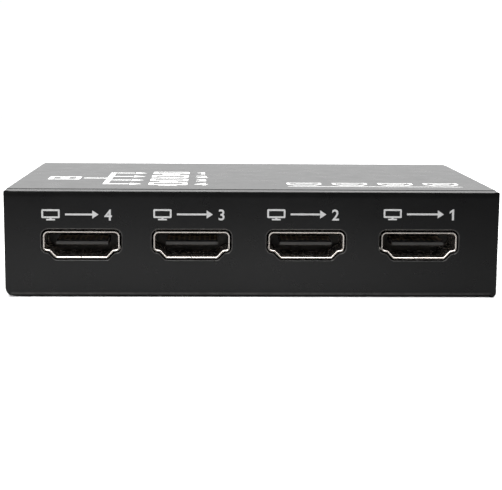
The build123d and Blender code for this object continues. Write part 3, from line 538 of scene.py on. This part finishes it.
# Over each output: screen, arrow, socket's number.
for number, x0, x1, z0 in ((4, -40.45, -27.0, 14.93), (3, -19.1, -5.45, 15.02), (2, 2.75, 16.6, 15.10), (1, 25.2, 38.85, 15.20)):
    cap = 2.14
    figure = numeral_mesh("n%d" % number, str(number), cap, 0, z0)
    co = np.array([v.co for v in figure.vertices])
    co[:, 0] += x1 * MM - co[:, 0].max()
    figure.vertices.foreach_set("co", co.astype(np.float32).ravel())
    left = co[:, 0].min() / MM
    signs = screen_sign(x0, z0, 3.5, cap, 0.34) + arrow(x0 + 4.5, left - 1.1, z0 + cap * 0.54, 0.36, 1.2, 0.80)
    place("print_output_%d" % number, [flat_mesh("signs_%d" % number, signs), figure], "front")

# Input side, drawn as seen from behind: u is -x.
rear = []
for number, u in ((1, 21.5), (2, 26.0), (3, 30.5), (4, 35.0)):
    m = numeral_mesh("r%d" % number, str(number), 1.5, 0, 12.3)
    co = np.array([v.co for v in m.vertices])
    co[:, 0] += u * MM - (co[:, 0].max() + co[:, 0].min()) / 2
    m.vertices.foreach_set("co", co.astype(np.float32).ravel())
    rear.append(m)
# Power light: broken ring with a bar.
power = []
for i in range(25):
    t = math.radians(125 + 290 * i / 24)
    power.append((17.0 + 0.75 * math.cos(t), 13.0 + 0.75 * math.sin(t)))
for i in range(25):
    t = math.radians(125 + 290 * (24 - i) / 24)
    power.append((17.0 + 0.53 * math.cos(t), 13.0 + 0.53 * math.sin(t)))
rear.append(flat_mesh("power_sign", [power, outline_box(16.89, 13.05, 17.11, 13.95)]))
for text, u in (("ON", -22.6), ("OFF", -17.2)):
    rear.append(numeral_mesh("s" + text, text, 1.15, u, 12.35, "CENTER"))
# Plug polarity: ring minus, dot in an open ring, plus.
cx, cy, h = -33.0, 6.6, 0.1
cup = [(cx + 1.05 * math.cos(t), cy + 1.05 * math.sin(t)) for t in np.radians(np.linspace(50, 174.5, 16))]
cup += [(-35.68, cy + h), (-35.68, cy - h)]
cup += [(cx + 1.05 * math.cos(t), cy + 1.05 * math.sin(t)) for t in np.radians(np.linspace(185.5, 310, 16))]
cup += [(cx + 0.85 * math.cos(t), cy + 0.85 * math.sin(t)) for t in np.radians(np.linspace(310, 50, 32))]
dot = [(cx + 0.42 * math.cos(t), cy + 0.42 * math.sin(t)) for t in np.radians(np.linspace(14, 346, 32))]
dot += [(-30.32, cy - h), (-30.32, cy + h)]
plus = [(-0.45, -h), (-h, -h), (-h, -0.45), (h, -0.45), (h, -h), (0.45, -h), (0.45, h), (h, h), (h, 0.45), (-h, 0.45),
        (-h, h), (-0.45, h)]
rear.append(flat_mesh("polarity", ring(-36.6, cy, 0.9, 0.2) + [outline_box(-37.05, cy - h, -36.15, cy + h), cup, dot]
                      + ring(-29.4, cy, 0.9, 0.2) + [[(-29.4 + u, cy + v) for u, v in plus]]))
# Source sign over the input socket: box, arrow.
rear.append(flat_mesh("source", frame_box(-9.0, 15.2, -5.6, 17.2, 0.3, 0.2) + [circle(-7.3, 16.2, 0.38)]
                      + arrow(-4.9, -0.6, 16.2, 0.34, 1.1, 0.75)))
place("print_input_side", rear, "rear")

# Top, left: one source feeding four screens.
top = []
signs = frame_box(-41.8, -9.4, -35.2, -3.8, 0.95, 0.6) + [circle(-38.5, -6.6, 1.0)]
half = 0.55
rows = (-17.4, -10.2, -3.0, 4.2)
comb = [(-34.6, -6.6 - half), (-29.2 - half, -6.6 - half)]
spine0, spine1 = -29.2 - half, -29.2 + half
comb += [(spine0, rows[0] - half)]
for i, y in enumerate(rows):
    comb += [(-24.6, y - half), (-24.6, y + half)]
    if i < 3:
        comb += [(spine1, y + half), (spine1, rows[i + 1] - half)]
comb += [(spine0, rows[3] + half), (spine0, -6.6 + half), (-34.6, -6.6 + half)]
signs.append(comb)
for y in rows:
    signs += [[(-24.4, y - 1.7), (-21.8, y), (-24.4, y + 1.7)]]
    signs += screen_sign(-20.6, y - 2.7, 7.8, 5.5, 0.95)
top.append(flat_mesh("diagram", signs))
for number, y in zip((4, 3, 2, 1), rows):
    top.append(numeral_mesh("t%d" % number, str(number), 4.0, -11.4, y - 2.0))
place("print_top_diagram", top, "top")

# Top, right: a row of socket signs over a rule.
signs = [outline_box(7.2, -21.0, 42.0, -20.5)]
for x in (10.7, 19.97, 29.23, 38.5):
    for grow in (0.0, -0.6):
        h, top_y, mid_y, low_y = 3.5 + grow, -14.2 + grow, -16.8 + grow * 0.25, -18.9 - grow
        signs.append([(x - h + 1.5 + grow * 0.2, low_y), (x + h - 1.5 - grow * 0.2, low_y), (x + h, mid_y), (x + h, top_y),
                      (x - h, top_y), (x - h, mid_y)])
    signs.append(outline_box(x - 1.7, -16.6, x + 1.7, -16.0))
place("print_top_sockets", [flat_mesh("sockets", signs)], "top")


# ------------------------------------------------------------------ stage and light
def floor():
    steps, rings = 96, (0.0, 0.2, 0.5, 1.0, 3.0, 8.0)
    verts, faces = [(0, 0, 0)], []
    for r in rings[1:]:
        verts += [(r * math.cos(2 * math.pi * i / steps), r * math.sin(2 * math.pi * i / steps), 0) for i in range(steps)]
    for i in range(steps):
        faces.append((0, 1 + i, 1 + (i + 1) % steps))
    for k in range(len(rings) - 2):
        a, b = 1 + k * steps, 1 + (k + 1) * steps
        for i in range(steps):
            faces.append((a + i, b + i, b + (i + 1) % steps, a + (i + 1) % steps))
    mesh = bpy.data.meshes.new("floor")
    mesh.from_pydata(verts, [], faces)
    mesh.update()
    made = bpy.data.materials.new("paper_sweep")
    made.use_nodes = True
    tree = made.node_tree
    tree.nodes.clear()
    n = Nodes(tree)
    at = n.object_coords()
    x, y, z = n.separate(at)
    radius = n.math("SQRT", n.math("ADD", n.math("MULTIPLY", x, x), n.math("MULTIPLY", y, y)))
    fade = n.span(radius, 0.16, 0.60, smooth=True)
    paper = n.new("ShaderNodeBsdfDiffuse")
    n.link(n.mix(n.noise(at, 400.0), (0.86, 0.86, 0.86), (0.90, 0.90, 0.90)), paper.inputs["Color"])
    glow = n.new("ShaderNodeEmission")
    glow.inputs["Color"].default_value = (1, 1, 1, 1)
    glow.inputs["Strength"].default_value = 1.02
    seen = n.new("ShaderNodeMixShader")
    n.link(fade, seen.inputs[0])
    n.link(paper.outputs[0], seen.inputs[1])
    n.link(glow.outputs[0], seen.inputs[2])
    # What the floor gives back to the object: a pale sheet with painted shade, darker further in front of the object, a
    # little darker just in front of it, and darker towards the right (+x).
    front = n.span(y, -0.172, -0.06, 0.03, 0.37, smooth=True)
    front = n.math("MULTIPLY", front, n.span(y, -0.07, -0.045, 1.0, 0.82, smooth=True))
    front = n.math("MULTIPLY", front, n.span(x, 0.005, 0.065, 1.0, 0.45, smooth=True))
    sheet = n.new("ShaderNodeBsdfDiffuse")
    grey = n.new("ShaderNodeCombineColor")
    for i in range(3):
        n.link(front, grey.inputs[i])
    n.link(grey.outputs[0], sheet.inputs["Color"])
    join = n.new("ShaderNodeMixShader")
    n.link(n.new("ShaderNodeLightPath").outputs["Is Camera Ray"], join.inputs[0])
    n.link(sheet.outputs[0], join.inputs[1])
    n.link(seen.outputs[0], join.inputs[2])
    out = n.new("ShaderNodeOutputMaterial")
    n.link(join.outputs[0], out.inputs["Surface"])
    mesh.materials.append(made)
    obj = bpy.data.objects.new("floor", mesh)
    obj.location.z = -0.00005
    scene.collection.objects.link(obj)


floor()

world = bpy.data.worlds.new("studio")
scene.world = world
world.use_nodes = True
world.node_tree.nodes.clear()
w = Nodes(world.node_tree)
direction = w.new("ShaderNodeTexCoord").outputs["Generated"]
dx, dy, dz = w.separate(direction)
# Bright sweep behind the object, a dim room in front of it, a soft ceiling.
behind = w.span(dy, -0.45, 0.20, smooth=True)
side = w.span(dx, -0.9, 0.9, 0.07, 0.03)
level_light = w.math("ADD", side, w.math("MULTIPLY", behind, 1.14))
ceiling = w.span(dz, 0.35, 0.95, smooth=True)
strength = w.math("ADD", level_light, w.math("MULTIPLY", ceiling, 0.30))
lighting = w.new("ShaderNodeBackground")
lighting.inputs["Color"].default_value = (1, 1, 1, 1)
w.link(strength, lighting.inputs["Strength"])
seen = w.new("ShaderNodeBackground")
seen.inputs["Color"].default_value = (1, 1, 1, 1)
seen.inputs["Strength"].default_value = 1.02
join = w.new("ShaderNodeMixShader")
w.link(w.new("ShaderNodeLightPath").outputs["Is Camera Ray"], join.inputs[0])
w.link(lighting.outputs[0], join.inputs[1])
w.link(seen.outputs[0], join.inputs[2])
w.link(join.outputs[0], w.new("ShaderNodeOutputWorld").inputs["Surface"])


def softbox(name, place_at, aim, size, power):
    data = bpy.data.lights.new(name, "AREA")
    data.shape = "RECTANGLE"
    data.size, data.size_y = size
    data.energy = power
    obj = bpy.data.objects.new(name, data)
    obj.location = place_at
    obj.rotation_mode = "QUATERNION"
    obj.rotation_quaternion = (Vector(aim) - Vector(place_at)).to_track_quat("-Z", "Y")
    scene.collection.objects.link(obj)
    return obj


softbox("overhead", (0.0, -0.12, 0.85), (0, 0, 0), (0.9, 0.8), 11.0)
softbox("key", (-0.30, -0.80, 0.62), (0, 0, 0.01), (0.55, 0.40), 3.8)
for side_name, sx in (("side_left", -1), ("side_right", 1)):
    softbox(side_name, (sx * 0.74, -0.30, 0.56), (0, 0, 0.01), (0.50, 0.45), 2.2)

scene.view_settings.view_transform = "Standard"
scene.view_settings.look = "None"
scene.view_settings.exposure = 0.0
scene.view_settings.gamma = 1.0
